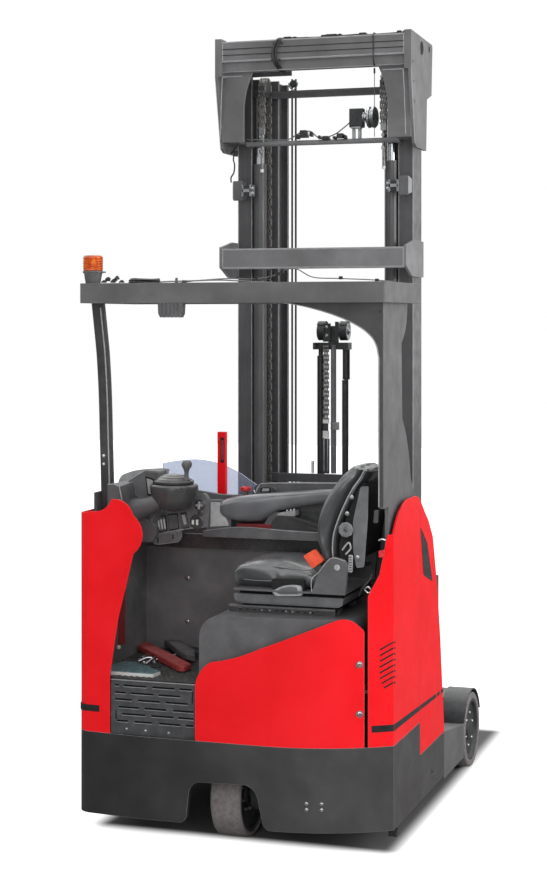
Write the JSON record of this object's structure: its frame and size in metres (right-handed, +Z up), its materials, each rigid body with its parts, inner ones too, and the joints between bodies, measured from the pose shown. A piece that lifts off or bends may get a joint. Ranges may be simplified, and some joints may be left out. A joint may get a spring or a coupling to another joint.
{
  "type": "seated reach truck",
  "caption": "Warehouse reach truck with sideways seat, overhead guard, reaching three-stage mast, tilting and side-shifting forks, and straddle arms on wheels.",
  "frame": {"origin": "centre of the overall footprint, on the floor", "axes": "+X to the truck's right, +Y forward to the fork tips, +Z up"},
  "size_m": [1.271, 2.91, 3.352],
  "materials": {
    "red_paint": "glossy powder coat",
    "frame_grey": "satin dark grey paint",
    "mast_steel": "satin dark grey paint on rolled profiles",
    "fork_steel": "black paint, worn",
    "chrome_rod": "hard chromed",
    "cast_housing": "painted casting",
    "polyurethane_tread": "smooth polyurethane",
    "black_plastic": "fine grained moulding",
    "rubber_mat": "ribbed mat",
    "pedal_pads": "ribbed pads",
    "battery_case": "painted steel case",
    "clear_screen": "clear screen",
    "seat_vinyl": "black vinyl",
    "amber_lens": "ribbed lens"
  },
  "bodies": {
    "chassis": {"armrest_console": "black_plastic", "battery": "battery_case", "battery_door_left": "red_paint", "battery_door_right": "red_paint", "battery_hood": "frame_grey", "beacon": "amber_lens", "cab_floor": "frame_grey", "cab_walls": "black_plastic", "centre_panel": "red_paint", "chassis_plates": "frame_grey", "control_post": "red_paint", "dashboard": "black_plastic", "floor_mat": "rubber_mat", "guard_column_right": "frame_grey", "guard_pillar_left": "frame_grey", "left_column_cover": "red_paint", "overhead_guard": "frame_grey", "pedals": "pedal_pads", "reach_cylinder": "frame_grey", "rear_skirt": "frame_grey", "right_corner_cover": "red_paint", "seat_base": "black_plastic", "seat_suspension": "black_plastic", "steering_pod": "black_plastic", "step_riser": "black_plastic", "support_arm_left": "frame_grey", "support_arm_right": "frame_grey", "wheel_fender_left": "black_plastic", "wheel_fender_right": "black_plastic", "windscreen": "clear_screen", "work_light": "black_plastic"},
    "drive_steering": {"drive_unit": "cast_housing"},
    "drive_wheel_body": {"drive_wheel": "polyurethane_tread"},
    "load_wheel_right_body": {"load_wheel_right": "polyurethane_tread"},
    "load_wheel_left_body": {"load_wheel_left": "polyurethane_tread"},
    "hand_wheel": {"steering_wheel": "black_plastic"},
    "seat": {"seat_cushion": "seat_vinyl", "seat_brackets": "black_plastic"},
    "backrest": {"seat_backrest": "seat_vinyl"},
    "mast": {"reach_carriage": "frame_grey", "reach_rod": "chrome_rod", "outer_rails": "mast_steel", "mast_head_frame": "frame_grey", "mast_mid_frame": "frame_grey", "lift_cylinders": "mast_steel"},
    "middle_mast": {"middle_rails": "mast_steel", "lift_rods": "chrome_rod"},
    "inner_mast": {"inner_rails": "mast_steel", "free_lift_cylinder": "mast_steel"},
    "free_lift_head": {"free_lift_rod": "chrome_rod"},
    "carriage": {"fork_carriage": "frame_grey"},
    "shifter": {"side_shifter": "frame_grey"},
    "forks": {"fork_frame": "frame_grey", "fork_left": "fork_steel", "fork_right": "fork_steel"}
  },
  "joints": [
    {"name": "mast_reach", "type": "slide", "parent": "chassis", "child": "mast", "axis": [0, 1, 0], "range_m": [-0.22, 0.3]},
    {"name": "mast_lift", "type": "slide", "parent": "mast", "child": "middle_mast", "axis": [0, 0, 1], "range_m": [0, 2.55]},
    {"name": "inner_lift", "type": "slide", "parent": "middle_mast", "child": "inner_mast", "axis": [0, 0, 1], "range_m": [0, 2.55]},
    {"name": "free_lift", "type": "slide", "parent": "inner_mast", "child": "carriage", "axis": [0, 0, 1], "range_m": [0, 2.3]},
    {"name": "free_lift_stroke", "type": "slide", "parent": "inner_mast", "child": "free_lift_head", "axis": [0, 0, 1], "range_m": [0, 1.15]},
    {"name": "side_shift", "type": "slide", "parent": "carriage", "child": "shifter", "axis": [1, 0, 0], "range_m": [-0.075, 0.075]},
    {"name": "fork_tilt", "type": "hinge", "parent": "shifter", "child": "forks", "pos_m": [0, 0.246, 0.475], "axis": [1, 0, 0], "range_deg": [-1, 3]},
    {"name": "drive_steer", "type": "hinge", "parent": "chassis", "child": "drive_steering", "pos_m": [-0.027, -1.208, 0.372], "axis": [0, 0, 1], "range_deg": [-90, 90]},
    {"name": "drive_roll", "type": "hinge", "parent": "drive_steering", "child": "drive_wheel_body", "pos_m": [-0.027, -1.208, 0.172], "axis": [1, 0, 0], "continuous": true},
    {"name": "load_roll_right", "type": "hinge", "parent": "chassis", "child": "load_wheel_right_body", "pos_m": [0.5825, 0.162, 0.1715], "axis": [1, 0, 0], "continuous": true},
    {"name": "load_roll_left", "type": "hinge", "parent": "chassis", "child": "load_wheel_left_body", "pos_m": [-0.5825, 0.162, 0.1715], "axis": [1, 0, 0], "continuous": true},
    {"name": "hand_steer", "type": "hinge", "parent": "chassis", "child": "hand_wheel", "pos_m": [-0.33, -1.155, 1.4], "axis": [0, 0, 1], "range_deg": [-630, 630]},
    {"name": "seat_slide", "type": "slide", "parent": "chassis", "child": "seat", "axis": [-1, 0, 0], "range_m": [0, 0.1]},
    {"name": "seat_recline", "type": "hinge", "parent": "seat", "child": "backrest", "pos_m": [0.43, -1.12, 1.075], "axis": [0, -1, 0], "range_deg": [0, 25]}
  ],
  "couplings": [
    {"joint": "inner_lift", "follows": "mast_lift", "ratio": 1},
    {"joint": "free_lift_stroke", "follows": "free_lift", "ratio": 0.5},
    {"joint": "hand_steer", "follows": "drive_steer", "ratio": 7}
  ]
}
